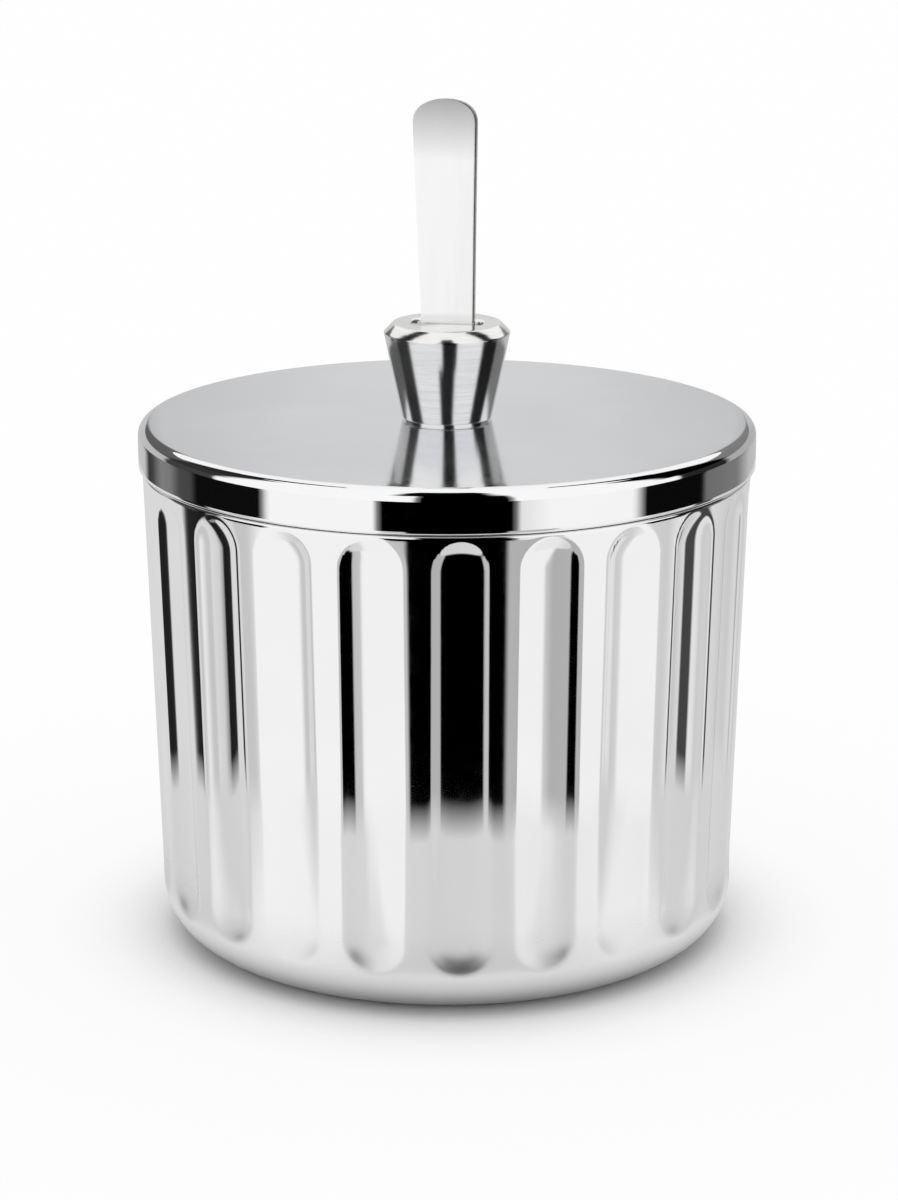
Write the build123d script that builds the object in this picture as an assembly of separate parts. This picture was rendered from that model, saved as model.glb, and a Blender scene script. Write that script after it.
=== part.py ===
from build123d import *
from math import atan2, cos, degrees, radians, sin
import os

# A fluted steel ghee pot with a lift-off cap lid and a spoon that stands in it.
# Millimetres. +Z is up, the origin is on the pot's axis at the plane it stands on,
# and -Y is the side that faces the viewer.

# Pot: one drawn steel shell with pressed flutes and a stepped-in neck
shoulder_radius = 46.9
wall_draft = 2.0
corner_radius = 8.4
corner_steps = 4
shoulder_height = 74.5
neck_rise = 6.0
pot_sheet = 0.8
shoulder_sheet_share = 0.75
dish_radius = 27.0
dish_rise = 0.7
dish_slope = 2.5

# Flutes: upright hollows with rounded ends, pressed in from outside
flute_count = 22
flute_width = 9.2
flute_depth = 1.0
flute_top_margin = 1.4
flute_foot_height = 7.2
flute_phase = 2.5

# Lid: a flat cap with a turned-down skirt
lid_overhang = 0.6
lid_sheet = 0.9
lid_edge_radius = 1.8
lid_edge_steps = 2
lid_skirt_fit = 0.2
lid_skirt_gap = 0.3

# Knob: a turned inverted cone with a chamfered top and a shadow gap at its foot
knob_height = 15.0
knob_foot_radius = 6.95
knob_widest_radius = 9.7
knob_chamfer_height = 1.45
knob_chamfer_width = 1.4
knob_gap_height = 0.35
knob_gap_depth = 0.45

# Slot for the spoon's handle, right through the knob and the lid
slot_width = 11.0
slot_thickness = 3.2
slot_corner_radius = 0.8
slot_turn = -10.0
lid_slot_margin = 0.2

# Two screws that hold the knob from under the lid, one each side of the slot
screw_radius = 1.0
screw_thread_fit = 0.02
screw_lid_fit = 0.15
screw_grip = 5.0
screw_hole_spare = 1.0
screw_head_radius = 2.0
screw_head_height = 1.3
screw_offset = 4.0

# Spoon: one pressed strip, its bowl down in the pot and its flat handle up through the slot
spoon_top_height = 130.4
spoon_floor_gap = 0.3
spoon_sheet = 1.6
handle_widest_width = 9.7
handle_widest_drop = 4.2
handle_crown_rise = 1.3
handle_corner_radius = 3.6
handle_neck_width = 4.8
handle_back_bend = 0.5
handle_bend_length = 26.0
spoon_lean = 0.97
spoon_lean_height = 108.0
bowl_length = 37.0
bowl_foot_share = 0.56
bowl_width = 25.0
bowl_depth = 7.0
bowl_sheet = 1.3
bowl_rim_setback = 0.5
neck_overlap = 3.0

# Sizes that follow from the ones above
foot_radius = shoulder_radius - wall_draft
rim_height = shoulder_height + neck_rise
lid_top = rim_height + lid_sheet
lid_radius = shoulder_radius + lid_overhang
neck_radius = lid_radius - lid_sheet - lid_skirt_fit
skirt_end_height = shoulder_height + lid_skirt_gap
knob_top = lid_top + knob_height
flute_top_height = shoulder_height - flute_top_margin
flute_middle_height = (flute_top_height + flute_foot_height) / 2
wall_run = shoulder_height - corner_radius
wall_lean = degrees(atan2(shoulder_radius - foot_radius, wall_run))
floor_height = pot_sheet + dish_rise
spoon_foot_height = floor_height + spoon_floor_gap
bowl_rim_height = spoon_foot_height + bowl_length
bowl_rim_place = bowl_rim_setback - spoon_sheet / 2


def arc_points(centre, radius, start, end, steps):
    """Points evenly along an arc, from one angle to another, in degrees."""
    turns = [radians(start + (end - start) * i / steps) for i in range(steps + 1)]
    return [(centre[0] + radius * cos(turn), centre[1] + radius * sin(turn)) for turn in turns]


def wall_radius(height):
    """Outer radius of the pot's wall, between its foot corner and its shoulder."""
    return foot_radius + (shoulder_radius - foot_radius) * (height - corner_radius) / wall_run


def pot_block(inset):
    """Plain turned block of the pot, drawn in all round by the given inset."""
    shoulder = shoulder_height - inset * shoulder_sheet_share
    corner_centre = (foot_radius - corner_radius, corner_radius)
    outline = Polyline(
        (0, dish_rise + inset),
        (dish_radius, dish_rise + inset),
        (dish_radius + dish_slope, inset),
        *arc_points(corner_centre, corner_radius - inset, -90, 0, corner_steps),
        (shoulder_radius - inset, shoulder),
        (neck_radius - inset, shoulder),
        (neck_radius - inset, rim_height + inset),
        (0, rim_height + inset),
        close=True,
    )
    return revolve(make_face(Plane.XZ * outline), Axis.Z)


def flute_rod(inset):
    """Taper-ended rod that presses one flute, laid along the slope of the wall."""
    wall = wall_radius(flute_middle_height)
    half = flute_width / 2
    rod = half**2 * wall / (2 * flute_depth * wall - half**2)
    straight = flute_top_height - flute_foot_height - 2 * half
    press = rod + inset
    taper = Pos(0, 0, straight / 2) * Cone(
        press,
        press - 2 * flute_depth,
        2 * half,
        align=(Align.CENTER, Align.CENTER, Align.MIN),
    )
    place = Pos(wall + rod - flute_depth, 0, flute_middle_height) * Rot(0, wall_lean, 0)
    return place * (Cylinder(press, straight) + taper + Rot(180, 0, 0) * taper)


def fluted_block(inset):
    """The pot's block with every flute pressed in."""
    rod = flute_rod(inset)
    pitch = 360 / flute_count
    turns = [flute_phase - 90 + pitch * i for i in range(flute_count)]
    block = Rot(0, 0, turns[0] + pitch / 2) * pot_block(inset)
    return block - [Rot(0, 0, turn) * rod for turn in turns]


def make_pot():
    """Drawn shell of even sheet: the fluted block less the same block drawn in."""
    return fluted_block(0) - fluted_block(pot_sheet)


def slot_cutter(margin):
    """Cutter for the handle's slot, through the knob and the lid."""
    section = RectangleRounded(
        slot_width + 2 * margin, slot_thickness + 2 * margin, slot_corner_radius + margin
    )
    cutter = extrude(section, knob_height + 4 * lid_sheet)
    return Pos(0, 0, rim_height - lid_sheet) * Rot(0, 0, slot_turn) * cutter


def screw_places():
    """Axes of the knob's two screws, at the underside of the lid."""
    return [
        Pos(0, 0, rim_height) * Rot(0, 0, slot_turn) * Pos(0, side * screw_offset, 0)
        for side in (-1, 1)
    ]


def make_lid():
    """Flat cap with a turned-down skirt, pierced for the slot and the screws."""
    inner = lid_radius - lid_sheet
    edge_centre = (lid_radius - lid_edge_radius, lid_top - lid_edge_radius)
    outline = Polyline(
        (0, rim_height),
        (inner, rim_height),
        (inner, skirt_end_height),
        (lid_radius, skirt_end_height),
        *arc_points(edge_centre, lid_edge_radius, 0, 90, lid_edge_steps),
        (0, lid_top),
        close=True,
    )
    section = make_face(Plane.XZ * outline)
    hole = Cylinder(screw_radius + screw_lid_fit, 4 * lid_sheet)
    return revolve(section, Axis.Z) - slot_cutter(lid_slot_margin) - [
        place * hole for place in screw_places()
    ]


def make_knob():
    """Turned inverted cone with its slot and two tapped holes in its foot."""
    widest = knob_top - knob_chamfer_height
    foot = lid_top + knob_gap_height
    outline = Polyline(
        (0, lid_top),
        (knob_foot_radius - knob_gap_depth, lid_top),
        (knob_foot_radius - knob_gap_depth, foot),
        (knob_foot_radius, foot),
        (knob_widest_radius, widest),
        (knob_widest_radius - knob_chamfer_width, knob_top),
        (0, knob_top),
        close=True,
    )
    body = revolve(make_face(Plane.XZ * outline), Axis.Z)
    depth = screw_grip + screw_hole_spare
    tapped = Pos(0, 0, lid_sheet) * Cylinder(
        screw_radius + screw_thread_fit, depth, align=(Align.CENTER, Align.CENTER, Align.MIN)
    )
    return body - slot_cutter(0) - [place * tapped for place in screw_places()]


def make_knob_screws():
    """The two pan-head screws, as separate solids in one group."""
    shank = Cylinder(
        screw_radius,
        lid_sheet + screw_grip,
        align=(Align.CENTER, Align.CENTER, Align.MIN),
    )
    head = Cylinder(
        screw_head_radius,
        screw_head_height,
        align=(Align.CENTER, Align.CENTER, Align.MAX),
    )
    head = chamfer(head.edges().group_by(Axis.Z)[0], screw_head_height / 2)
    screw = shank + head
    return Compound(children=[place * screw for place in screw_places()])


def handle_outline():
    """Front view of the handle: a strip that widens upwards to a rounded end."""
    top = spoon_top_height
    widest = top - handle_widest_drop
    neck = bowl_rim_height - neck_overlap
    half_top = handle_widest_width / 2
    half_neck = handle_neck_width / 2
    shoulder = top - handle_crown_rise
    sides = Polyline(
        (-half_top, shoulder),
        (-half_top, widest),
        (-half_neck, neck),
        (half_neck, neck),
        (half_top, widest),
        (half_top, shoulder),
    )
    crown = ThreePointArc((-half_top, shoulder), (0, top), (half_top, shoulder))
    section = make_face(Plane.XZ * (sides + crown))
    corners = section.vertices().filter_by_position(Axis.Z, shoulder - 0.01, shoulder + 0.01)
    return fillet(corners, handle_corner_radius)


def handle_side():
    """Side view of the handle: straight sheet, bent back a little near its end."""
    top = spoon_top_height
    start = top - handle_bend_length
    low = bowl_rim_height - neck_overlap
    half = spoon_sheet / 2
    bend = handle_back_bend
    middle = (start + top) / 2
    front = Line((-half, low), (-half, start)) + ThreePointArc(
        (-half, start), (-half + bend / 4, middle), (-half + bend, top)
    )
    back = ThreePointArc(
        (half + bend, top), (half + bend / 4, middle), (half, start)
    ) + Line((half, start), (half, low))
    ends = Line((-half + bend, top), (half + bend, top)) + Line((half, low), (-half, low))
    return make_face(Plane.YZ * (front + back + ends))


def make_handle():
    """The flat handle: its front view and its side view met in one strip."""
    strip = extrude(handle_outline(), spoon_sheet * 4, both=True)
    bent = extrude(handle_side(), handle_widest_width, both=True)
    return strip & bent


def bowl_block(inset):
    """Turned egg whose back forms the spoon's bowl, drawn in by the given inset."""
    half_width = bowl_width / 2
    turn_radius = (half_width**2 + bowl_depth**2) / (2 * bowl_depth)
    widest = bowl_length * bowl_foot_share
    egg = []
    for reach, side in ((widest, -1), (bowl_length - widest, 1)):
        arc_radius = (reach**2 + bowl_depth**2) / (2 * bowl_depth)
        disc = Pos(turn_radius - arc_radius, 0) * Circle(arc_radius - inset)
        half = Pos(turn_radius / 2, side * reach / 2) * Rectangle(turn_radius, reach)
        egg.append(revolve(Plane.XZ * (disc & half), Axis.Z))
    middle = bowl_rim_place + bowl_depth - turn_radius
    return Pos(0, middle, spoon_foot_height + widest) * (egg[0] + egg[1])


def make_bowl():
    """The spoon's bowl: the back of the egg, hollowed to an even sheet."""
    behind = Box(
        2 * bowl_width,
        2 * bowl_width,
        4 * bowl_length,
        align=(Align.CENTER, Align.MIN, Align.CENTER),
    )
    return (bowl_block(0) - bowl_block(bowl_sheet)) & (Pos(0, bowl_rim_place, 0) * behind)


def make_spoon():
    """Handle and bowl in one piece, leaning a little and turned with the slot."""
    spoon = make_handle() - bowl_block(bowl_sheet) + make_bowl()
    lean = Pos(0, 0, spoon_lean_height) * Rot(0, -spoon_lean, 0) * Pos(0, 0, -spoon_lean_height)
    return Rot(0, 0, slot_turn) * lean * spoon


def main():
    """Build every piece and write one file for each."""
    os.makedirs("parts", exist_ok=True)
    pieces = {
        "pot_body": make_pot(),
        "lid": make_lid(),
        "knob": make_knob(),
        "knob_screws": make_knob_screws(),
        "spoon": make_spoon(),
    }
    for node, piece in pieces.items():
        export_step(piece, f"parts/{node}.step")


if __name__ == "__main__":
    main()
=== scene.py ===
import math

import bmesh
import bpy
from bpy.props import FloatProperty, IntProperty, PointerProperty
from mathutils import Matrix, Vector


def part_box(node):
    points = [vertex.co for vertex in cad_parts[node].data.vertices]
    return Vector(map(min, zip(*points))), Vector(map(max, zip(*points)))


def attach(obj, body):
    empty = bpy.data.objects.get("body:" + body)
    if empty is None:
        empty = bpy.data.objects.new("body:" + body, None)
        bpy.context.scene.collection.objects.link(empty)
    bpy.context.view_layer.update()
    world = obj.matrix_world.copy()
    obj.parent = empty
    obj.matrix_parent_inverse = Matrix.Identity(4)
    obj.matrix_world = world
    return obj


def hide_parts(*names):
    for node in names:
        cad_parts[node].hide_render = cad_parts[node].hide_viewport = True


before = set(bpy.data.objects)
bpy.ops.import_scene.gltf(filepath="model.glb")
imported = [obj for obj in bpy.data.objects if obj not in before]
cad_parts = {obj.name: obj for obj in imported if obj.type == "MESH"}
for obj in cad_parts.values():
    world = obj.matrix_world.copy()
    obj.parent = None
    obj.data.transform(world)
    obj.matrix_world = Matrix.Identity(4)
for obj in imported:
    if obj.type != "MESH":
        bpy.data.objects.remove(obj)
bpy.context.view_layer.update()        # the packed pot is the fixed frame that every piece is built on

bl_info = {
    "name": "Ghee pot",
    "version": (1, 0, 0),
    "blender": (4, 5, 0),
    "location": "3D View > Sidebar > Ghee pot",
    "description": "Builds a fluted steel ghee pot with its cap lid, knob and standing spoon",
    "category": "Add Mesh",
}

POT_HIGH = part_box("pot_body")[1]
LID_LOW, LID_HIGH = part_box("lid")
KNOB_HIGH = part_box("knob")[1]
SPOON_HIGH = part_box("spoon")[1]
TURNED_ANGLE = math.radians(35)     # edges that bend less than this are smoothed on turned pieces
PRESSED_ANGLE = math.radians(50)    # and on pressed sheet
EDGE_STEPS = 3                      # faces across a broken edge
CUT_ROOM = 0.005                    # how far the slot's cutter stands out over the knob
NOISE_LOW, NOISE_HIGH = 0.3, 0.7    # a grey noise hardly leaves this range
CARD_SIDES = 360                    # sides of the round cards
GLOW_HEIGHT = 0.0002                # height of the flat card over the floor


# Properties

def length(name, text, default):
    """A size in metres."""
    return FloatProperty(name=name, description=text, default=default, unit="LENGTH", precision=5)


def angle(name, text, degrees):
    """A turn, stored in radians and shown in degrees."""
    return FloatProperty(
        name=name, description=text, default=math.radians(degrees), unit="ROTATION"
    )


def share(name, text, default):
    """A plain number from nought to one."""
    return FloatProperty(
        name=name, description=text, default=default, min=0.0, max=1.0, subtype="FACTOR"
    )


def count(name, text, default):
    """A whole number of copies or sides."""
    return IntProperty(name=name, description=text, default=default, min=1)


class PotSizes(bpy.types.PropertyGroup):
    """Sizes of the drawn and fluted shell"""

    sheet: length("Sheet", "Thickness of the drawn steel", 0.0008)
    shoulder_radius: length("Shoulder radius", "Outer radius of the wall under the lid", POT_HIGH.x)
    wall_draft: length("Wall draft", "How much narrower the wall is at its foot", 0.002)
    corner_radius: length("Corner radius", "Radius of the bend between wall and base", 0.0084)
    shoulder_height: length("Shoulder height", "Where the wall steps in to the neck", 0.0745)
    shoulder_round: length("Shoulder round", "Radius of the step's outer edge", 0.0005)
    rim_height: length("Rim height", "Top of the neck, which the lid rests on", POT_HIGH.z)
    dish_radius: length("Dish radius", "Radius of the raised middle of the base", 0.028)
    dish_rise: length("Dish rise", "How far the middle of the base is raised", 0.0007)
    flute_count: count("Flutes", "How many flutes go round the wall", 22)
    flute_columns: count("Columns in a flute", "Mesh columns from one flute to the next", 24)
    flute_width: length("Flute width", "Width of a flute before its edges are eased", 0.0092)
    flute_depth: length("Flute depth", "How far a flute is pressed in", 0.001)
    flute_flatness: FloatProperty(
        name="Flute flatness",
        description="2 is a plain round trough, more has a flatter floor",
        default=2.5,
    )
    flute_ease: length("Flute easing", "How softly a flute's edge runs out", 0.00010)
    flute_top: length("Flute top", "Height of the flutes' upper ends", 0.0737)
    flute_foot: length("Flute foot", "Height of the flutes' lower ends", 0.0072)
    flute_turn: angle("Flute turn", "Turn of the flute nearest the front, to the right", 2.5)


class LidSizes(bpy.types.PropertyGroup):
    """Sizes of the flat cap"""

    sides: count("Sides", "Mesh columns round the lid", 288)
    radius: length("Radius", "Outer radius of the skirt", LID_HIGH.x - 0.00002)
    top: length("Top", "Height of the flat top", LID_HIGH.z)
    skirt_end: length("Skirt end", "Height of the skirt's lower edge", LID_LOW.z)
    sheet: length("Sheet", "Thickness of the steel", 0.0009)
    edge_radius: length("Edge radius", "Radius of the turned-down edge", 0.0018)
    seat_radius: length("Seat radius", "Radius of the middle that carries the knob", 0.012)


class KnobSizes(bpy.types.PropertyGroup):
    """Sizes of the turned knob, its slot and its screws"""

    sides: count("Sides", "Mesh columns round the knob", 192)
    top: length("Top", "Height of the knob's top", KNOB_HIGH.z)
    widest_radius: length("Widest radius", "Radius under the chamfer", KNOB_HIGH.x)
    foot_radius: length("Foot radius", "Radius just over the shadow gap", 0.00695)
    chamfer_height: length("Chamfer height", "Upright size of the chamfer", 0.00145)
    chamfer_width: length("Chamfer width", "Level size of the chamfer", 0.0014)
    gap_height: length("Gap height", "Height of the shadow gap under the knob", 0.00035)
    gap_depth: length("Gap depth", "How far the shadow gap goes in", 0.00045)
    edge_round: length("Edge round", "Broken edge of the turned corners", 0.00013)
    slot_width: length("Slot width", "Width of the slot for the handle", 0.011)
    slot_thickness: length("Slot thickness", "Thickness of the slot for the handle", 0.0032)
    slot_corner: length("Slot corner", "Corner radius of the slot", 0.0008)
    mouth_break: length("Mouth break", "Broken edge of the slot's mouth", 0.00032)
    slot_turn: angle("Slot turn", "Turn of slot and spoon about the pot's axis", -10)
    lid_margin: length("Lid margin", "Extra room round the slot in the lid", 0.0002)
    screw_offset: length("Screw offset", "Distance of each screw from the middle", 0.004)
    screw_radius: length("Screw radius", "Radius of a screw's shank", 0.001)
    screw_head_radius: length("Screw head radius", "Radius of a screw's head", 0.002)
    screw_head_height: length("Screw head height", "Height of a screw's head", 0.0013)
    screw_fit: length("Screw fit", "Room round a shank in its hole", 0.00015)


class SpoonSizes(bpy.types.PropertyGroup):
    """Sizes of the pressed spoon"""

    sheet: length("Sheet", "Thickness of the strip", 0.0016)
    top: length("Top", "Height of the handle's end", SPOON_HIGH.z - 0.00005)
    end_height: length("End height", "Height of the rounded end", 0.0036)
    end_width: length("End width", "Greatest width of the handle", 0.0097)
    neck_width: length("Neck width", "Least width, where the handle meets the bowl", 0.0048)
    back_bend: length("Back bend", "How far the end leans back", 0.0005)
    bend_length: length("Bend length", "Length of handle that bends back", 0.026)
    lean: angle("Lean", "Lean of the spoon to the left", 0.97)
    lean_height: length("Lean height", "Height about which the spoon leans", 0.108)
    bowl_foot: length("Bowl foot", "Height of the bowl's tip", 0.0024)
    bowl_widest: length("Bowl widest", "Height where the bowl is widest", 0.0224)
    bowl_top: length("Bowl top", "Height where the bowl ends in the neck", 0.0386)
    bowl_width: length("Bowl width", "Greatest width of the bowl", 0.0242)
    bowl_depth: length("Bowl depth", "Depth of the bowl at its middle", 0.0058)
    columns: count("Columns", "Mesh columns across the spoon", 20)
    edge_round: length("Edge round", "Broken edge of the strip", 0.0003)


class StudioSizes(bpy.types.PropertyGroup):
    """Camera, floor and the cards that the steel reflects"""

    lens: FloatProperty(name="Lens", description="Focal length in millimetres", default=104.83)
    camera_side: length("Camera side", "Camera's place to the right of the pot", 0.0003)
    camera_distance: length("Camera distance", "Camera's level distance from the axis", 0.52607)
    camera_height: length("Camera height", "Camera's height over the floor", 0.19678)
    camera_tilt: angle("Camera tilt", "Turn of the camera up from looking straight down", 74.648)
    white: share("White", "Floor and background", 0.985)
    shadow_lift: share("Shadow lift", "How much the floor's shadow is lightened", 0.8)
    floor_size: length("Floor size", "Side of the square floor", 8.0)
    ring_radius: length("Ring radius", "Radius of the card ring round the pot", 0.112)
    glow_inner: length("Floor glow radius", "Inner radius of the flat ring", 0.056)
    foot_blend: length("Foot blend", "Height over which the ring takes the floor's grey", 0.007)


# Modelling helpers

def deselect_all():
    """Leave edit mode and select nothing."""
    if bpy.context.object and bpy.context.object.mode != "OBJECT":
        bpy.ops.object.mode_set(mode="OBJECT")
    bpy.ops.object.select_all(action="DESELECT")


def make_active(piece):
    """Select one object alone and make it the active one."""
    deselect_all()
    piece.select_set(True)
    bpy.context.view_layer.objects.active = piece


def name_new(name):
    """Name the object that was just added, and put its place into its mesh."""
    piece = bpy.context.object
    piece.name = name
    piece.data.name = name
    bpy.ops.object.transform_apply(location=True, rotation=True, scale=True)
    return piece


def apply_modifiers(piece):
    """Apply every modifier of a piece in order."""
    make_active(piece)
    for modifier in list(piece.modifiers):
        if bpy.ops.object.modifier_apply(modifier=modifier.name) != {"FINISHED"}:
            raise RuntimeError(f"{piece.name}: {modifier.name} can't be applied")


def pick(piece, kind, test):
    """In edit mode, select only the vertices, edges or faces that pass a test on their middle."""
    bpy.ops.mesh.select_mode(type={"verts": "VERT", "edges": "EDGE", "faces": "FACE"}[kind])
    bpy.ops.mesh.select_all(action="DESELECT")
    mesh = bmesh.from_edit_mesh(piece.data)
    found = 0
    for part in getattr(mesh, kind):
        places = [part.co] if kind == "verts" else [vert.co for vert in part.verts]
        if test(places):
            part.select_set(True)
            found += 1
    bmesh.update_edit_mesh(piece.data)
    if not found:
        raise RuntimeError(f"{piece.name}: nothing was found to select")


def on_ring(radius, height, slack=0.00002):
    """A test for edges that lie on one turned ring."""
    def test(places):
        return all(
            abs(math.hypot(place.x, place.y) - radius) < slack and abs(place.z - height) < slack
            for place in places
        )
    return test


def arc(radius_at, height_at, radius, start, end, steps):
    """Rings along an arc round a centre, from one angle to another in degrees, both included."""
    turns = [math.radians(start + (end - start) * i / steps) for i in range(steps + 1)]
    return [(radius_at + radius * math.cos(t), height_at + radius * math.sin(t)) for t in turns]


def even(start, end, steps):
    """Numbers spaced evenly from start to end, both included."""
    return [start + (end - start) * i / steps for i in range(steps + 1)]


def turn_on_lathe(name, rings, sides, turn=0.0, start_fill="NGON", end_fill="face"):
    """Turn a piece: draw out a circle ring by ring, and close its two ends."""
    deselect_all()
    radius, height = rings[0]
    bpy.ops.mesh.primitive_circle_add(
        vertices=sides,
        radius=radius,
        fill_type=start_fill,
        location=(0, 0, height),
        rotation=(0, 0, turn),
    )
    piece = name_new(name)
    bpy.ops.object.mode_set(mode="EDIT")
    pick(piece, "edges", on_ring(radius, height))
    for next_radius, next_height in rings[1:]:
        bpy.ops.mesh.extrude_edges_move(
            TRANSFORM_OT_translate={"value": (0, 0, next_height - height)}
        )
        growth = next_radius / radius
        bpy.ops.transform.resize(value=(growth, growth, 1), center_override=(0, 0, next_height))
        radius, height = next_radius, next_height
    if end_fill == "face":
        bpy.ops.mesh.edge_face_add()
    else:
        bpy.ops.mesh.extrude_edges_move()
        bpy.ops.mesh.merge(type="CENTER")
    face_outwards()
    bpy.ops.object.mode_set(mode="OBJECT")
    return piece


def face_outwards():
    """In edit mode, turn every face of a closed piece outwards."""
    bpy.ops.mesh.select_all(action="SELECT")
    bpy.ops.mesh.normals_make_consistent(inside=False)


def break_ring(piece, radius, height, size):
    """Break a turned corner with a small bevel."""
    make_active(piece)
    bpy.ops.object.mode_set(mode="EDIT")
    pick(piece, "edges", on_ring(radius, height))
    bpy.ops.mesh.bevel(offset=size, segments=EDGE_STEPS, profile=0.5)
    bpy.ops.object.mode_set(mode="OBJECT")


def cut_away(piece, cutters):
    """Cut pieces away from a piece, and delete the cutters."""
    for cutter in cutters:
        cut = piece.modifiers.new("cut", "BOOLEAN")
        cut.operation = "DIFFERENCE"
        cut.solver = "EXACT"
        cut.object = cutter
        apply_modifiers(piece)
        bpy.data.objects.remove(cutter)


def finish_piece(piece, body, node, flat_angle=TURNED_ANGLE):
    """Smooth a piece, hang it on its body and let it stand for its node."""
    make_active(piece)
    bpy.ops.object.shade_smooth_by_angle(angle=flat_angle)
    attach(piece, body)
    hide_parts(node)


def give_material(piece, material, test=None):
    """Give a piece a material, on all its faces or on those whose middle and normal pass a test."""
    piece.data.materials.append(material)
    index = len(piece.data.materials) - 1
    for face in piece.data.polygons:
        if test is None or test(face.center, face.normal):
            face.material_index = index


# Shader helpers

class Shader:
    """A material's node tree with its main shader, and short ways to add to it."""

    def __init__(self, name):
        self.material = bpy.data.materials.new(name)
        self.material.use_nodes = True
        self.tree = self.material.node_tree
        self.main = self.tree.nodes["Principled BSDF"]
        self.place = self.add("ShaderNodeTexCoord").outputs["Object"]

    def add(self, kind, settings=None, **inputs):
        """Add a node. A number, tuple or socket goes to the input of the same name."""
        node = self.tree.nodes.new(kind)
        for name, value in (settings or {}).items():
            setattr(node, name, value)
        for name, value in inputs.items():
            self.feed(node.inputs[name.replace("_", " ")], value)
        return node

    def feed(self, socket, value):
        """Link a socket, or set its value."""
        if isinstance(value, bpy.types.NodeSocket):
            self.tree.links.new(value, socket)
        else:
            socket.default_value = value

    def set(self, **inputs):
        """Set or link inputs of the main shader."""
        for name, value in inputs.items():
            self.feed(self.main.inputs[name.replace("_", " ")], value)

    def height(self):
        """The height over the floor."""
        return self.add("ShaderNodeSeparateXYZ", Vector=self.place).outputs["Z"]

    def maths(self, operation, *values):
        """What one step of arithmetic makes of one or two values."""
        node = self.add("ShaderNodeMath", {"operation": operation})
        for socket, value in zip(node.inputs, values):
            self.feed(socket, value)
        return node.outputs["Value"]

    def mixed(self, factor, first, second, blend="MIX"):
        """Two colours mixed, or multiplied, by a factor."""
        node = self.add("ShaderNodeMix", {"data_type": "RGBA", "blend_type": blend}, Factor=factor)
        self.feed(node.inputs[6], first)
        self.feed(node.inputs[7], second)
        return node.outputs[2]

    def stretched(self, scale):
        """Object coordinates stretched by a scale on each axis."""
        return self.add("ShaderNodeMapping", Vector=self.place, Scale=scale).outputs["Vector"]

    def noise(self, place, scale, detail=2.0, roughness=0.5):
        """A grey noise, in features to the metre."""
        node = self.add(
            "ShaderNodeTexNoise",
            Vector=place,
            Scale=scale,
            Detail=detail,
            Roughness=roughness,
        )
        return node.outputs["Fac"]

    def between(self, value, low, high, start=NOISE_LOW, end=NOISE_HIGH):
        """Spread a grey value between two numbers."""
        node = self.add("ShaderNodeMapRange", From_Min=start, From_Max=end, To_Min=low, To_Max=high)
        self.feed(node.inputs["Value"], value)
        return node.outputs["Result"]

    def tint(self, value, dark, light):
        """Spread a grey value between two colours."""
        ramp = self.add("ShaderNodeValToRGB", Fac=value)
        ends = ((NOISE_LOW, dark), (NOISE_HIGH, light))
        for element, (position, colour) in zip(ramp.color_ramp.elements, ends):
            element.position = position
            element.color = (*colour, 1)
        return ramp.outputs["Color"]

    def bump(self, height, distance, under=None):
        """A bump of a given height in metres, over another bump where there is one."""
        node = self.add("ShaderNodeBump", Height=height, Strength=1.0, Distance=distance)
        if under is not None:
            self.feed(node.inputs["Normal"], under)
        return node.outputs["Normal"]


def polished_steel():
    """Mirror-polished drawn steel: faint waves, hardly any blur; a rougher foot with painted shade."""
    steel = Shader("pot_polished_steel")
    clouds = steel.tint(steel.noise(steel.place, 40.0), (0.90, 0.90, 0.905), (0.93, 0.93, 0.93))
    # Painted shade: the colour darkens to 0.85 of itself towards the foot
    painted_shade_foot = steel.between(steel.height(), 0.85, 1.0, 0.003, 0.014)
    speckle = steel.between(steel.noise(steel.place, 420.0, 4.0), 0.035, 0.065)
    foot_blur = steel.between(steel.height(), 0.3, 0.0, 0.009, 0.019)
    steel.set(
        Metallic=1.0,
        Base_Color=steel.mixed(1.0, clouds, painted_shade_foot, "MULTIPLY"),
        Roughness=steel.maths("ADD", foot_blur, speckle),
        Normal=steel.bump(steel.noise(steel.place, 75.0, 1.0), 0.00001),
    )
    return steel.material


def drawn_steel(name):
    """The unpolished inside of drawn steel: fine lines round the axis, a soft sheen."""
    steel = Shader(name)
    lines = steel.noise(steel.stretched((40.0, 40.0, 2600.0)), 1.0, 3.0)
    clouds = steel.noise(steel.place, 60.0)
    steel.set(
        Metallic=1.0,
        Base_Color=steel.tint(clouds, (0.80, 0.80, 0.80), (0.86, 0.86, 0.86)),
        Roughness=steel.between(lines, 0.22, 0.36),
        Normal=steel.bump(lines, 0.000004),
    )
    return steel.material


def sheen_steel():
    """The lid's flat top: polished to a soft sheen, with slow cloudy changes."""
    steel = Shader("lid_top_sheen")
    clouds = steel.noise(steel.place, 55.0, 3.0)
    steel.set(
        Metallic=1.0,
        Base_Color=steel.tint(clouds, (0.80, 0.808, 0.835), (0.845, 0.853, 0.88)),
        Roughness=steel.between(steel.noise(steel.place, 300.0, 4.0), 0.09, 0.13),
        Normal=steel.bump(steel.noise(steel.place, 60.0, 1.0), 0.000006),
    )
    return steel.material


def band_steel():
    """The lid's skirt and rounded edge: bright mirror polish."""
    steel = Shader("lid_band_mirror")
    clouds = steel.noise(steel.place, 50.0)
    steel.set(
        Metallic=1.0,
        Base_Color=steel.tint(clouds, (0.91, 0.91, 0.91), (0.94, 0.94, 0.94)),
        Roughness=steel.between(steel.noise(steel.place, 500.0, 4.0), 0.02, 0.05),
        Normal=steel.bump(steel.noise(steel.place, 45.0, 1.0), 0.000006),
    )
    return steel.material


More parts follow.
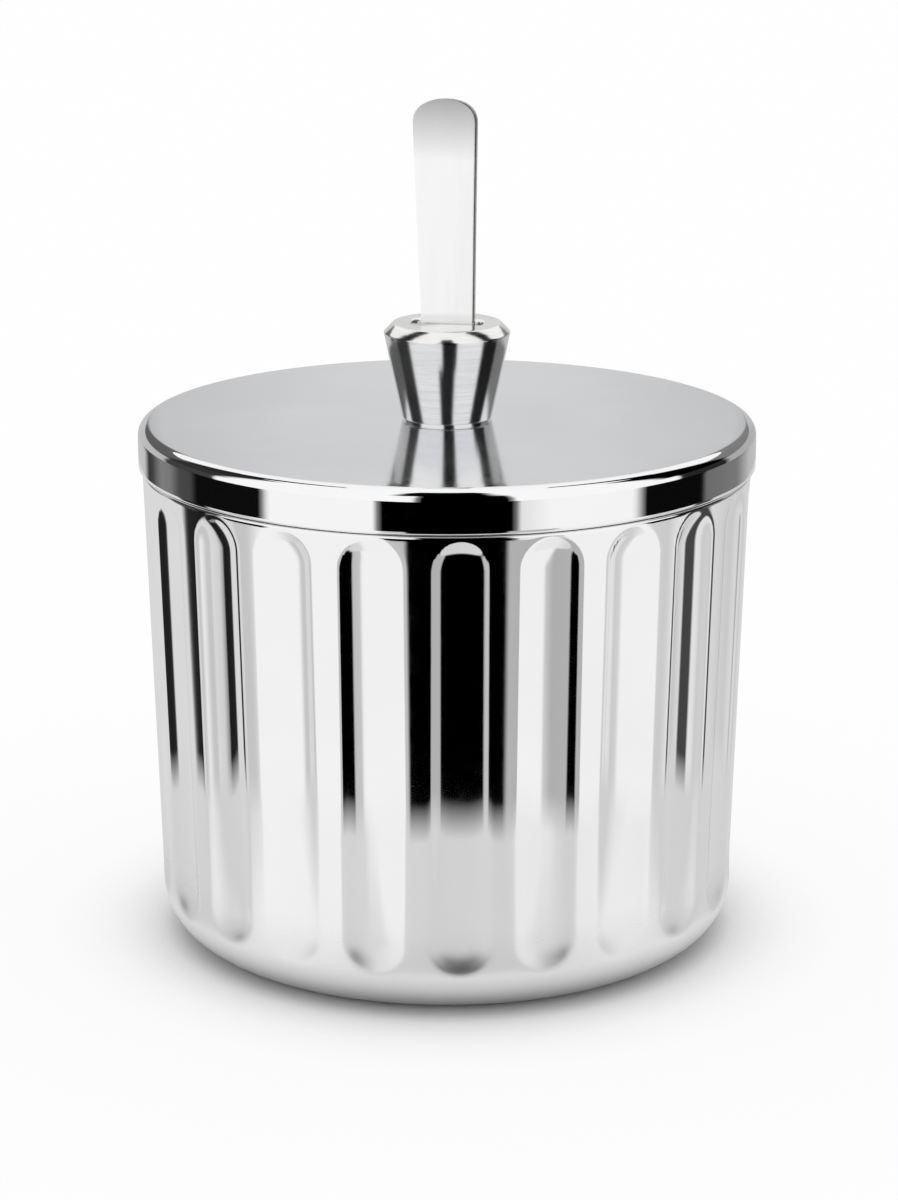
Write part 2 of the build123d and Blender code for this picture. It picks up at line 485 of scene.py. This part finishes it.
def turned_steel():
    """The knob: fine rings left by the turning tool, a satin run of light up and down."""
    steel = Shader("knob_turned_steel")
    rings = steel.noise(steel.stretched((30.0, 30.0, 9000.0)), 1.0, 4.0, 0.6)
    scratches = steel.noise(steel.stretched((160.0, 160.0, 3200.0)), 1.0, 2.0)
    tangent = steel.add("ShaderNodeTangent", {"direction_type": "RADIAL", "axis": "Z"})
    steel.set(
        Metallic=1.0,
        Base_Color=steel.tint(scratches, (0.82, 0.815, 0.805), (0.91, 0.91, 0.90)),
        Roughness=steel.between(rings, 0.10, 0.15),
        Anisotropic=0.3,
        Normal=steel.bump(rings, 0.000002, steel.bump(scratches, 0.0000012)),
        Tangent=tangent.outputs["Tangent"],
    )
    return steel.material


def screw_steel():
    """Plain bright screws with a little tumbling wear."""
    steel = Shader("screw_plain_steel")
    wear = steel.noise(steel.place, 1800.0, 4.0)
    steel.set(
        Metallic=1.0,
        Base_Color=steel.tint(wear, (0.60, 0.60, 0.61), (0.72, 0.72, 0.73)),
        Roughness=steel.between(wear, 0.24, 0.38),
        Normal=steel.bump(wear, 0.000006),
    )
    return steel.material


def satin_steel(turn, handle_foot):
    """The spoon: brushed along its length, with painted shade on the handle's end and on its edges.

    The handle's face looks along the turn. Below the handle's foot nothing counts as an edge.
    """
    steel = Shader("spoon_satin_steel")
    brushing = steel.noise(steel.stretched((5200.0, 5200.0, 55.0)), 1.0, 3.0, 0.6)
    smears = steel.noise(steel.stretched((260.0, 260.0, 40.0)), 1.0, 2.0)
    height = steel.height()
    faced = steel.add("ShaderNodeVectorMath", {"operation": "DOT_PRODUCT"})
    steel.feed(faced.inputs[0], steel.add("ShaderNodeTexCoord").outputs["Normal"])
    steel.feed(faced.inputs[1], (math.sin(turn), -math.cos(turn), 0.0))
    on_bowl = steel.between(height, 1.0, 0.0, handle_foot, handle_foot + 0.015)
    on_face = steel.maths("MAXIMUM", steel.maths("ABSOLUTE", faced.outputs["Value"]), on_bowl)
    # Painted shade: the handle's end fades to 0.46 of its colour with height, its edges to 0.2 by how
    # they face
    painted_shade_end = steel.between(height, 1.0, 0.46, 0.1212, 0.1305)
    painted_shade_edges = steel.between(on_face, 0.2, 1.0, 0.75, 0.985)
    painted_shade = steel.maths("MULTIPLY", painted_shade_end, painted_shade_edges)
    bright = steel.tint(smears, (0.90, 0.90, 0.90), (0.94, 0.94, 0.94))
    steel.set(
        Metallic=1.0,
        Base_Color=steel.mixed(1.0, bright, painted_shade, "MULTIPLY"),
        Roughness=steel.between(brushing, 0.13, 0.18),
        Normal=steel.bump(brushing, 0.0000008),
    )
    return steel.material


# Pieces

def wall_radius(sizes, height):
    """Outer radius of the pot's wall at a height, before the flutes are pressed."""
    run = sizes.shoulder_height - sizes.corner_radius
    return sizes.shoulder_radius - sizes.wall_draft * (sizes.shoulder_height - height) / run


def flute_heights(sizes):
    """Heights of the wall's rings: close together where the flutes end, wide apart between."""
    end_length = 1.3 * sizes.flute_width / 2
    low_end = sizes.flute_foot + end_length
    high_start = sizes.flute_top - end_length
    top = sizes.shoulder_height - sizes.shoulder_round
    foot_rows, middle_rows, top_rows = 13, 6, 17
    return (
        even(sizes.corner_radius, low_end, foot_rows)[1:]
        + even(low_end, high_start, middle_rows)[1:]
        + even(high_start, top, top_rows)[1:]
    )


def dish(sizes, lift, outwards):
    """Rings of the raised middle of the base, as an easy S from flat to flat."""
    slope_width = 0.0035
    slope_start = sizes.dish_radius - slope_width / 2
    centre, half_way = 0.003, 0.014
    raised = lift + sizes.dish_rise
    rings = [(centre, raised), (half_way, raised)]
    for t in even(0, 1, 8):
        fall = t * t * (3 - 2 * t)
        rings.append((slope_start + slope_width * t, lift + sizes.dish_rise * (1 - fall)))
    return rings if outwards else rings[::-1]


def pot_rings(sizes):
    """The pot's whole outline: up its outside, over the rim and down its inside."""
    foot = sizes.shoulder_radius - sizes.wall_draft
    corner = foot - sizes.corner_radius
    heights = flute_heights(sizes)
    neck = sizes.shoulder_radius - sizes.shoulder_round
    inside_neck = neck - sizes.sheet
    half = sizes.sheet / 2
    neck_foot = sizes.shoulder_height + 0.0006
    step = sizes.shoulder_height - sizes.sheet
    step_room = 0.0003
    outside = dish(sizes, 0.0, True)
    outside += arc(corner, sizes.corner_radius, sizes.corner_radius, -90, -60, 5)
    outside += arc(corner, sizes.corner_radius, sizes.corner_radius, -60, 0, 16)[1:]
    outside += [(wall_radius(sizes, height), height) for height in heights]
    outside += arc(neck, heights[-1], sizes.shoulder_round, 0, 90, 5)[1:]
    outside += [(neck, neck_foot)]
    outside += arc(neck - half, sizes.rim_height - half, half, 0, 180, 8)
    inside = [(inside_neck, step + step_room), (inside_neck + 0.00012, step - 0.0001)]
    inside += [
        (wall_radius(sizes, height) - sizes.sheet, height)
        for height in reversed(heights)
        if height < step - step_room
    ]
    inside += arc(corner, sizes.corner_radius, sizes.corner_radius - sizes.sheet, 0, -90, 12)
    inside += dish(sizes, sizes.sheet, False)
    return outside + inside


def flute_press(sizes, turn, height, radius):
    """How far the wall is pressed in at a place: a shallow trough round the flute's spine."""
    pitch = 2 * math.pi / sizes.flute_count
    across = ((turn - sizes.flute_turn + pitch / 2) % pitch - pitch / 2) * radius
    half = sizes.flute_width / 2
    past_end = max(height - (sizes.flute_top - half), (sizes.flute_foot + half) - height, 0)
    off_spine = math.hypot(across, past_end) / half
    trough = sizes.flute_depth * (1 - off_spine**sizes.flute_flatness)
    return sizes.flute_ease * math.log1p(math.exp(trough / sizes.flute_ease))


def press_flutes(piece, sizes):
    """Press every flute into the wall, outside and inside alike."""
    lowest = sizes.flute_foot - 0.0035
    highest = sizes.shoulder_height + 0.0005
    innermost = sizes.shoulder_radius * 0.8
    for vert in piece.data.vertices:
        radius = math.hypot(vert.co.x, vert.co.y)
        if radius < innermost or not lowest < vert.co.z < highest:
            continue
        turn = math.atan2(vert.co.x, -vert.co.y)
        pressed = (radius - flute_press(sizes, turn, vert.co.z, radius)) / radius
        vert.co.x *= pressed
        vert.co.y *= pressed


class GHEE_OT_pot_body(bpy.types.Operator):
    """Turn the pot's shell, press its flutes and polish it"""

    bl_idname = "ghee_pot.pot_body"
    bl_label = "Pot body"

    def execute(self, context):
        sizes = context.scene.ghee_pot
        sides = sizes.flute_count * sizes.flute_columns
        pot = turn_on_lathe(
            "pot_body_shell", pot_rings(sizes), sides, sizes.flute_turn, "TRIFAN", "point"
        )
        press_flutes(pot, sizes)

        def is_inside(middle, normal):
            facing_in = middle.x * normal.x + middle.y * normal.y < -0.2 * middle.xy.length
            inner_wall = facing_in and normal.z > -0.5 and middle.z < sizes.rim_height - sizes.sheet
            inner_floor = normal.z > 0.7 and middle.z < sizes.corner_radius / 2
            step = normal.z < -0.5 and middle.z > sizes.shoulder_height / 2
            return inner_wall or inner_floor or step

        give_material(pot, polished_steel())
        give_material(pot, drawn_steel("pot_inside_steel"), is_inside)
        finish_piece(pot, "pot", "pot_body", PRESSED_ANGLE)
        return {"FINISHED"}


def slot_cutter(knob, margin):
    """A rounded bar where the handle goes through, from under the lid to over the knob."""
    low = LID_LOW.z
    high = knob.top + CUT_ROOM
    deselect_all()
    bpy.ops.mesh.primitive_cube_add(size=1, location=(0, 0, (low + high) / 2))
    bar = bpy.context.object
    bar.scale = (knob.slot_width + 2 * margin, knob.slot_thickness + 2 * margin, high - low)
    bar = name_new("slot_cutter")
    bpy.ops.object.mode_set(mode="EDIT")
    pick(bar, "edges", lambda places: abs(places[0].z - places[1].z) > 0.001)
    bpy.ops.mesh.bevel(offset=knob.slot_corner + margin, segments=6, profile=0.5)
    bpy.ops.object.mode_set(mode="OBJECT")
    bar.data.transform(Matrix.Rotation(knob.slot_turn, 4, "Z"))
    return bar


def screw_places(knob):
    """Turned places of the two screws' axes."""
    turn = Matrix.Rotation(knob.slot_turn, 4, "Z")
    return [turn @ Matrix.Translation((0, side * knob.screw_offset, 0)) for side in (-1, 1)]


def hole_cutters(knob, radius, low, high):
    """Round cutters for the two screws."""
    cutters = []
    for place in screw_places(knob):
        deselect_all()
        bpy.ops.mesh.primitive_cylinder_add(
            vertices=32, radius=radius, depth=high - low, location=(0, 0, (low + high) / 2)
        )
        cutter = name_new("hole_cutter")
        cutter.data.transform(place)
        cutters.append(cutter)
    return cutters


class GHEE_OT_lid(bpy.types.Operator):
    """Turn the cap lid, and pierce it for the handle and the screws"""

    bl_idname = "ghee_pot.lid"
    bl_label = "Lid"

    def execute(self, context):
        sizes = context.scene.ghee_lid
        knob = context.scene.ghee_knob
        edge = sizes.edge_radius
        half = sizes.sheet / 2
        round_off = sizes.sheet * 0.28
        ceiling = sizes.top - sizes.sheet
        inner = sizes.radius - sizes.sheet
        bend = 0.0006
        support = 0.0003
        foot = sizes.skirt_end + round_off
        rings = [(radius, sizes.top) for radius in (sizes.seat_radius, 0.03, 0.043)]
        rings += arc(sizes.radius - edge, sizes.top - edge, edge, 90, 0, 14)
        rings += [(sizes.radius, sizes.top - edge - support), (sizes.radius, foot + support)]
        rings += arc(sizes.radius - round_off, foot, round_off, 0, -90, 4)
        rings += arc(inner + round_off, foot, round_off, -90, -180, 4)
        rings += arc(inner - bend, ceiling - bend, bend, 0, 90, 5)
        rings += [(0.04, ceiling), (sizes.seat_radius, ceiling)]
        lid = turn_on_lathe("lid_cap", rings, sizes.sides)
        hole = knob.screw_radius + knob.screw_fit
        holes = hole_cutters(knob, hole, ceiling - half, sizes.top + half)
        cut_away(lid, [slot_cutter(knob, knob.lid_margin)] + holes)
        give_material(lid, band_steel())
        give_material(lid, sheen_steel(), lambda middle, normal: normal.z > 0.98)

        def is_inside(middle, normal):
            outwards = middle.x * normal.x + middle.y * normal.y
            return middle.z < sizes.top - half and (normal.z < -0.7 or outwards < 0)

        give_material(lid, drawn_steel("lid_inside_steel"), is_inside)
        finish_piece(lid, "lid", "lid")
        return {"FINISHED"}


class GHEE_OT_knob(bpy.types.Operator):
    """Turn the knob, break its edges and cut its slot and screw holes"""

    bl_idname = "ghee_pot.knob"
    bl_label = "Knob"

    def execute(self, context):
        sizes = context.scene.ghee_knob
        lid_top = context.scene.ghee_lid.top
        widest = sizes.top - sizes.chamfer_height
        top_radius = sizes.widest_radius - sizes.chamfer_width
        foot = lid_top + sizes.gap_height
        gap = sizes.foot_radius - sizes.gap_depth
        start = 0.0072
        corners = [(top_radius, sizes.top), (sizes.widest_radius, widest)]
        corners += [(sizes.foot_radius, foot)]
        rings = [(start, sizes.top)] + corners + [(gap, foot), (gap, lid_top)]
        knob = turn_on_lathe("knob_turned", rings, sizes.sides)
        for radius, height in corners:
            break_ring(knob, radius, height, sizes.edge_round)
        hole_room, hole_depth = 0.001, 0.006
        holes = hole_cutters(sizes, sizes.screw_radius, lid_top - hole_room, lid_top + hole_depth)
        cut_away(knob, [slot_cutter(sizes, 0)] + holes)
        bpy.ops.object.mode_set(mode="EDIT")
        mouth = sizes.slot_width / 2 + 0.0003

        def at_mouth(places):
            return all(
                abs(place.z - sizes.top) < 0.00001 and place.xy.length < mouth for place in places
            )

        pick(knob, "edges", at_mouth)
        bpy.ops.mesh.bevel(offset=sizes.mouth_break, segments=EDGE_STEPS, profile=0.5)
        bpy.ops.object.mode_set(mode="OBJECT")
        give_material(knob, turned_steel())
        finish_piece(knob, "lid", "knob")
        return {"FINISHED"}


class GHEE_OT_knob_screws(bpy.types.Operator):
    """Make one pan-head screw with a cross recess, and copy it"""

    bl_idname = "ghee_pot.knob_screws"
    bl_label = "Knob screws"

    def execute(self, context):
        sizes = context.scene.ghee_knob
        underside = context.scene.ghee_lid.top - context.scene.ghee_lid.sheet
        head_foot = underside - sizes.screw_head_height
        dome = sizes.screw_head_height * 0.45
        flat = sizes.screw_head_radius - dome
        shank_end = underside + 0.0059
        thread = 0.0004
        edge = 0.0001
        head, shank = sizes.screw_head_radius, sizes.screw_radius
        rings = [(flat * 0.5, head_foot)] + arc(flat, head_foot + dome, dome, -90, 0, 6)
        rings += [(head, underside - edge), (head - edge, underside), (shank, underside)]
        height = underside + 0.0012
        while height < shank_end - 2 * thread:
            rings += [(shank, height), (shank * 0.84, height + thread / 2)]
            height += thread
        rings += [(shank, height), (shank * 0.8, shank_end)]
        screw = turn_on_lathe("knob_screw_left", rings, 48)
        cross = []
        for turn in (0, math.pi / 2):
            deselect_all()
            bpy.ops.mesh.primitive_cube_add(size=1, location=(0, 0, head_foot))
            blade = bpy.context.object
            blade.scale = (0.0022, 0.0005, 0.0013)
            blade.rotation_euler = (0, 0, turn)
            cross.append(name_new("recess_cutter"))
        cut_away(screw, cross)
        give_material(screw, screw_steel())
        copy = screw.copy()
        copy.data = screw.data.copy()
        copy.name = copy.data.name = "knob_screw_right"
        context.collection.objects.link(copy)
        for piece, place in zip((screw, copy), screw_places(sizes)):
            piece.data.transform(place)
            finish_piece(piece, "lid", "knob_screws")
        return {"FINISHED"}


def soft_floor(value, ease):
    """The value, or an easy run-out to nought where it is negative."""
    return ease * math.log1p(math.exp(min(value / ease, 60)))


def spoon_rows(sizes):
    """Heights of the spoon's rows: close at the bowl's tip, round the neck and at the end."""
    low = sizes.bowl_widest - sizes.bowl_foot
    turns = even(math.radians(2.5), math.radians(90), 22)
    neck_start, neck_end = 0.034, 0.044
    rows = [sizes.bowl_widest - low * math.cos(turn) for turn in turns]
    rows += even(sizes.bowl_widest, neck_start, 12)[1:]
    rows += even(neck_start, neck_end, 14)[1:]
    rows += even(neck_end, sizes.top - sizes.end_height, 26)[1:]
    rows += [
        sizes.top - sizes.end_height * (1 - math.sin(turn))
        for turn in even(0, math.radians(88), 12)[1:]
    ]
    return rows


def spoon_half_width(sizes, height):
    """Half the spoon's width at a height, over bowl, neck, handle and rounded end."""
    half = sizes.bowl_width / 2
    if height < sizes.bowl_widest:
        reach = sizes.bowl_widest - sizes.bowl_foot
        return half * math.sqrt(max(1 - ((sizes.bowl_widest - height) / reach) ** 2, 0))
    reach = sizes.bowl_top - sizes.bowl_widest
    bowl = half * math.sqrt(max(1 - ((height - sizes.bowl_widest) / reach) ** 2, 0))
    neck = 0.036
    straight_end = sizes.top - sizes.end_height
    rise = min(max((height - neck) / (straight_end - neck), 0), 1)
    handle = (sizes.neck_width + (sizes.end_width - sizes.neck_width) * rise) / 2
    if height > straight_end:
        past = (height - straight_end) / sizes.end_height
        fullness = 2.3
        handle *= (1 - min(past, 1) ** fullness) ** (1 / fullness)
    return (bowl**3 + handle**3) ** (1 / 3)


def spoon_depth(sizes, height, across):
    """How far the strip lies behind the handle's plane, at a height and a share of its width."""
    if height < sizes.bowl_widest:
        reach = sizes.bowl_widest - sizes.bowl_foot
    else:
        reach = sizes.bowl_top - sizes.bowl_widest
    fall = 1 - ((height - sizes.bowl_widest) / reach) ** 2
    rim_ease = 0.00035
    bowl = soft_floor(sizes.bowl_depth * fall, rim_ease) * (1 - across**2)
    bend = max(height - (sizes.top - sizes.bend_length), 0) / sizes.bend_length
    return bowl + sizes.back_bend * bend**2


class GHEE_OT_spoon(bpy.types.Operator):
    """Press the spoon from a flat strip: outline, bowl, bent end, sheet and broken edges"""

    bl_idname = "ghee_pot.spoon"
    bl_label = "Spoon"

    def execute(self, context):
        sizes = context.scene.ghee_spoon
        rows = spoon_rows(sizes)
        deselect_all()
        bpy.ops.mesh.primitive_grid_add(
            x_subdivisions=sizes.columns, y_subdivisions=len(rows) - 1, size=2
        )
        spoon = name_new("spoon_pressed")
        for vert in spoon.data.vertices:
            row = round((vert.co.y + 1) / 2 * (len(rows) - 1))
            across = vert.co.x
            height = rows[row]
            vert.co = Vector((
                across * spoon_half_width(sizes, height),
                spoon_depth(sizes, height, across),
                height,
            ))
        sheet = spoon.modifiers.new("sheet", "SOLIDIFY")
        sheet.thickness = sizes.sheet
        sheet.offset = 0
        edges = spoon.modifiers.new("broken edges", "BEVEL")
        edges.width = sizes.edge_round
        edges.segments = EDGE_STEPS
        edges.limit_method = "ANGLE"
        edges.angle_limit = math.radians(50)
        apply_modifiers(spoon)
        bpy.ops.object.mode_set(mode="EDIT")
        face_outwards()
        bpy.ops.object.mode_set(mode="OBJECT")
        lean_at = Matrix.Translation((0, 0, sizes.lean_height))
        lean = lean_at @ Matrix.Rotation(-sizes.lean, 4, "Y") @ lean_at.inverted()
        slot_turn = context.scene.ghee_knob.slot_turn
        spoon.data.transform(Matrix.Rotation(slot_turn, 4, "Z") @ lean)
        handle_foot = sizes.bowl_top + 0.006
        give_material(spoon, satin_steel(slot_turn, handle_foot))
        finish_piece(spoon, "spoon", "spoon", PRESSED_ANGLE)
        return {"FINISHED"}


# Stage: the greys that the steel reflects, by azimuth in degrees to the right of the front

FLOOR_GREYS = [
    (-180, 0.80), (-71, 0.67), (-53, 0.94), (-24, 0.95), (-19.5, 0.73), (17, 0.68), (26, 0.74),
    (32.4, 0.87), (57, 0.90), (73, 0.67), (180, 0.72),
]
LOW_GREYS = [
    (-180, 0.03), (-168, 0.03), (-165, 0.69), (-110, 0.74), (-97, 0.74), (-94, 0.02), (-81, 0.01),
    (-79.5, 0.68), (-71, 0.75), (-69, 0.60), (-64, 0.60), (-58, 0.96), (-20, 0.96), (-18.5, 0.60),
    (-12.6, 0.55), (-11.5, 0.0), (17.2, 0.0), (18, 0.48), (31.5, 0.46), (33.8, 0.95), (62, 0.95),
    (65.5, 0.69), (73, 0.64), (77, 0.79), (83.5, 0.85), (85.5, 0.06), (93.5, 0.06), (96, 0.75),
    (113, 0.62), (165, 0.78), (168, 0.03), (180, 0.03),
]
BAND_GREYS = [
    (-180, 0.03), (-168, 0.03), (-165, 0.60), (-127, 0.55), (-121, 0.04), (-116, 0.06),
    (-108, 0.22), (-101, 0.20), (-95, 0.07), (-88, 0.06), (-85, 0.004), (-57, 0.004), (-54, 0.97),
    (-21, 0.97), (-19.3, 0.0), (19.3, 0.0), (21, 0.80), (30, 0.97), (57, 0.97), (61.5, 0.003),
    (87, 0.003), (90, 0.16), (112, 0.20), (126, 0.50), (165, 0.60), (168, 0.03), (180, 0.03),
]
HANDLE_GREYS = [
    (-180, 0.74), (-170, 0.71), (-160, 0.64), (-151, 0.60), (-136, 0.55), (-104, 0.50),
    (-101, 0.05), (-76, 0.05), (-74, 1.0), (-10, 1.0), (-8, 0.0), (18, 0.0), (19, 1.0), (74, 1.0),
    (76, 0.02), (100, 0.02), (104, 0.42), (136, 0.45), (151, 0.60), (160, 0.66), (170, 0.71),
    (180, 0.74),
]
MID_GREYS = [
    (-180, 0.71), (-165, 0.70), (-158, 0.65), (-151, 0.62), (-147, 0.12), (-106, 0.11),
    (-102, 0.03), (-76, 0.03), (-70, 1.0), (-10, 1.0), (-8, 0.0), (18, 0.0), (19, 1.0), (66, 1.0),
    (71, 0.0), (102, 0.0), (106, 0.20), (147, 0.22), (151, 0.62), (158, 0.65), (165, 0.70),
    (180, 0.71),
]
OVER_GREYS = [
    (-180, 0.95), (-115, 1.0), (-108, 0.02), (-76, 0.02), (-70, 1.0), (-19, 1.0), (-15, 0.0),
    (13, 0.0), (19, 1.0), (66, 1.0), (70, 0.0), (102, 0.0), (108, 1.0), (180, 0.95),
]
HIGH_GREYS = [
    (-180, 0.95), (-110, 1.0), (-107, 0.0), (-88, 0.0), (-86, 1.0), (-19, 1.0), (-17, 0.0),
    (17, 0.0), (19, 1.0), (86, 1.0), (88, 0.0), (107, 0.0), (110, 1.0), (180, 0.95),
]
RING_ZONES = [
    ("ring_low", 0.0538, [FLOOR_GREYS, LOW_GREYS]),
    ("ring_band", 0.068, [BAND_GREYS]),
    ("ring_handle", 0.100, [HANDLE_GREYS]),
    ("ring_mid", 0.136, [MID_GREYS]),
    ("ring_over", 0.200, [OVER_GREYS]),
    ("ring_high", 0.400, [HIGH_GREYS]),
]


def floor_paint(white, lift):
    """A matt white floor with the pot's shadow: deep at its foot, and lighter further off."""
    paint = Shader("floor_white")
    ray = paint.add("ShaderNodeLightPath").outputs
    seen = paint.maths("MAXIMUM", ray["Is Camera Ray"], ray["Is Glossy Ray"])
    seen = paint.maths("MAXIMUM", seen, ray["Is Transmission Ray"])
    nook = paint.add("ShaderNodeAmbientOcclusion", {"samples": 16}, Distance=0.026)
    openness = paint.between(nook.outputs["AO"], 0.0, 1.0, 0.30, 0.95)
    shade = paint.tint(openness, (0.64, 0.64, 0.64), (white, white, white))
    shaded = paint.between(seen, 0.3, 1.0, 0.0, 1.0)
    tone = paint.mixed(shaded, (white, white, white, 1), shade)
    paint.set(Base_Color=tone, Roughness=1.0, Specular_IOR_Level=0.0)
    lifted = paint.maths("MULTIPLY", paint.between(seen, 0.0, lift, 0.0, 1.0), openness)
    plain = paint.add("ShaderNodeEmission", Color=(1, 1, 1, 1))
    mix = paint.add("ShaderNodeMixShader", Fac=lifted)
    paint.feed(mix.inputs[1], paint.main.outputs["BSDF"])
    paint.feed(mix.inputs[2], plain.outputs["Emission"])
    paint.feed(paint.tree.nodes["Material Output"].inputs["Surface"], mix.outputs["Shader"])
    return paint.material


def glow(name, zones, blend_height=0.0):
    """A card's light: one grey for each azimuth, in degrees to the right of the front.

    A card with two rows of greys runs from the first, at its foot, to the second over a height.
    """
    paint = Shader(name)
    turned = paint.add("ShaderNodeMapping", Vector=paint.place, Rotation=(0, 0, math.pi / 2))
    round_the_pot = paint.add(
        "ShaderNodeTexGradient", {"gradient_type": "RADIAL"}, Vector=turned.outputs["Vector"]
    )
    greys = []
    for stops in zones:
        node = paint.add("ShaderNodeValToRGB", Fac=round_the_pot.outputs["Fac"])
        elements = node.color_ramp.elements
        while len(elements) < len(stops):
            elements.new(0.5)
        for element, (azimuth, grey) in zip(elements, stops):
            element.position = azimuth / 360 + 0.5
            element.color = (grey, grey, grey, 1)
        greys.append(node.outputs["Color"])
    shown = greys[-1]
    if len(greys) > 1:
        rise = paint.between(paint.height(), 0.0, 1.0, 0.0, blend_height)
        shown = paint.mixed(rise, *greys)
    light = paint.add("ShaderNodeEmission", Color=shown)
    paint.tree.nodes.remove(paint.main)
    paint.feed(paint.tree.nodes["Material Output"].inputs["Surface"], light.outputs["Emission"])
    return paint.material


def reflect_only(card, paint):
    """Let only the steel's reflections see a card."""
    card.data.materials.append(paint)
    card.visible_camera = False
    card.visible_diffuse = False
    card.visible_shadow = False
    card.visible_transmission = False


def reflection_ring(name, radius, low, high, zones, blend_height=0.0):
    """An upright ring round the pot, with a grey for each azimuth."""
    deselect_all()
    bpy.ops.mesh.primitive_cylinder_add(
        vertices=CARD_SIDES,
        radius=radius,
        depth=high - low,
        end_fill_type="NOTHING",
        location=(0, 0, (low + high) / 2),
    )
    reflect_only(name_new(name), glow(name + "_light", zones, blend_height))


def reflection_floor(name, inner_radius, outer_radius, stops):
    """A flat ring on the floor round the pot, with a grey for each azimuth."""
    deselect_all()
    bpy.ops.mesh.primitive_circle_add(
        vertices=CARD_SIDES, radius=inner_radius, fill_type="NOTHING", location=(0, 0, GLOW_HEIGHT)
    )
    card = name_new(name)
    bpy.ops.object.mode_set(mode="EDIT")
    bpy.ops.mesh.select_all(action="SELECT")
    bpy.ops.mesh.extrude_edges_move()
    growth = outer_radius / inner_radius
    bpy.ops.transform.resize(value=(growth, growth, 1), center_override=(0, 0, GLOW_HEIGHT))
    bpy.ops.object.mode_set(mode="OBJECT")
    reflect_only(card, glow(name + "_light", [stops]))


class GHEE_OT_stage(bpy.types.Operator):
    """Lay the pale floor, set up the reflection cards, the even white light and the camera"""

    bl_idname = "ghee_pot.stage"
    bl_label = "Stage"

    def execute(self, context):
        studio = context.scene.ghee_studio
        deselect_all()
        bpy.ops.mesh.primitive_plane_add(size=studio.floor_size)
        floor = name_new("floor")
        floor.data.materials.append(floor_paint(studio.white, studio.shadow_lift))
        reflection_floor("floor_glow", studio.glow_inner, studio.ring_radius, FLOOR_GREYS)
        zone_low = 0.0
        for name, zone_high, rows in RING_ZONES:
            reflection_ring(name, studio.ring_radius, zone_low, zone_high, rows, studio.foot_blend)
            zone_low = zone_high
        world = bpy.data.worlds.new("even_white_light")
        world.use_nodes = True
        sky = world.node_tree.nodes["Background"]
        sky.inputs["Color"].default_value = (studio.white, studio.white, studio.white, 1)
        sky.inputs["Strength"].default_value = 1.0
        context.scene.world = world
        bpy.ops.object.camera_add(
            location=(studio.camera_side, -studio.camera_distance, studio.camera_height),
            rotation=(studio.camera_tilt, 0, 0),
        )
        camera = bpy.context.object
        camera.name = "photo_camera"
        camera.data.lens = studio.lens
        camera.data.sensor_width = 36
        camera.data.clip_end = 100
        context.scene.camera = camera
        context.scene.view_settings.view_transform = "Standard"
        return {"FINISHED"}


class GHEE_PT_panel(bpy.types.Panel):
    """The pot's sizes and its pieces, in the order in which they are made"""

    bl_label = "Ghee pot"
    bl_idname = "GHEE_PT_panel"
    bl_space_type = "VIEW_3D"
    bl_region_type = "UI"
    bl_category = "Ghee pot"

    def draw(self, context):
        for operator in OPERATORS:
            self.layout.operator(operator.bl_idname)
        for slot_name, group in GROUPS.items():
            box = self.layout.box()
            box.label(text=group.__doc__)
            for prop in group.__annotations__:
                box.prop(getattr(context.scene, slot_name), prop)


GROUPS = {
    "ghee_pot": PotSizes,
    "ghee_lid": LidSizes,
    "ghee_knob": KnobSizes,
    "ghee_spoon": SpoonSizes,
    "ghee_studio": StudioSizes,
}
OPERATORS = (
    GHEE_OT_pot_body,
    GHEE_OT_lid,
    GHEE_OT_knob,
    GHEE_OT_knob_screws,
    GHEE_OT_spoon,
    GHEE_OT_stage,
)


def register():
    """Register the size groups, the operators and the panel."""
    for slot_name, group in GROUPS.items():
        bpy.utils.register_class(group)
        setattr(bpy.types.Scene, slot_name, PointerProperty(type=group))
    for operator in (*OPERATORS, GHEE_PT_panel):
        bpy.utils.register_class(operator)


def unregister():
    """Take everything back out, in reverse."""
    for operator in (GHEE_PT_panel, *reversed(OPERATORS)):
        bpy.utils.unregister_class(operator)
    for slot_name, group in reversed(GROUPS.items()):
        delattr(bpy.types.Scene, slot_name)
        bpy.utils.unregister_class(group)


def main():
    """Make every piece and the stage."""
    register()
    bpy.ops.ghee_pot.pot_body()
    bpy.ops.ghee_pot.lid()
    bpy.ops.ghee_pot.knob()
    bpy.ops.ghee_pot.knob_screws()
    bpy.ops.ghee_pot.spoon()
    bpy.ops.ghee_pot.stage()
    bpy.context.view_layer.update()


if __name__ == "__main__":
    main()
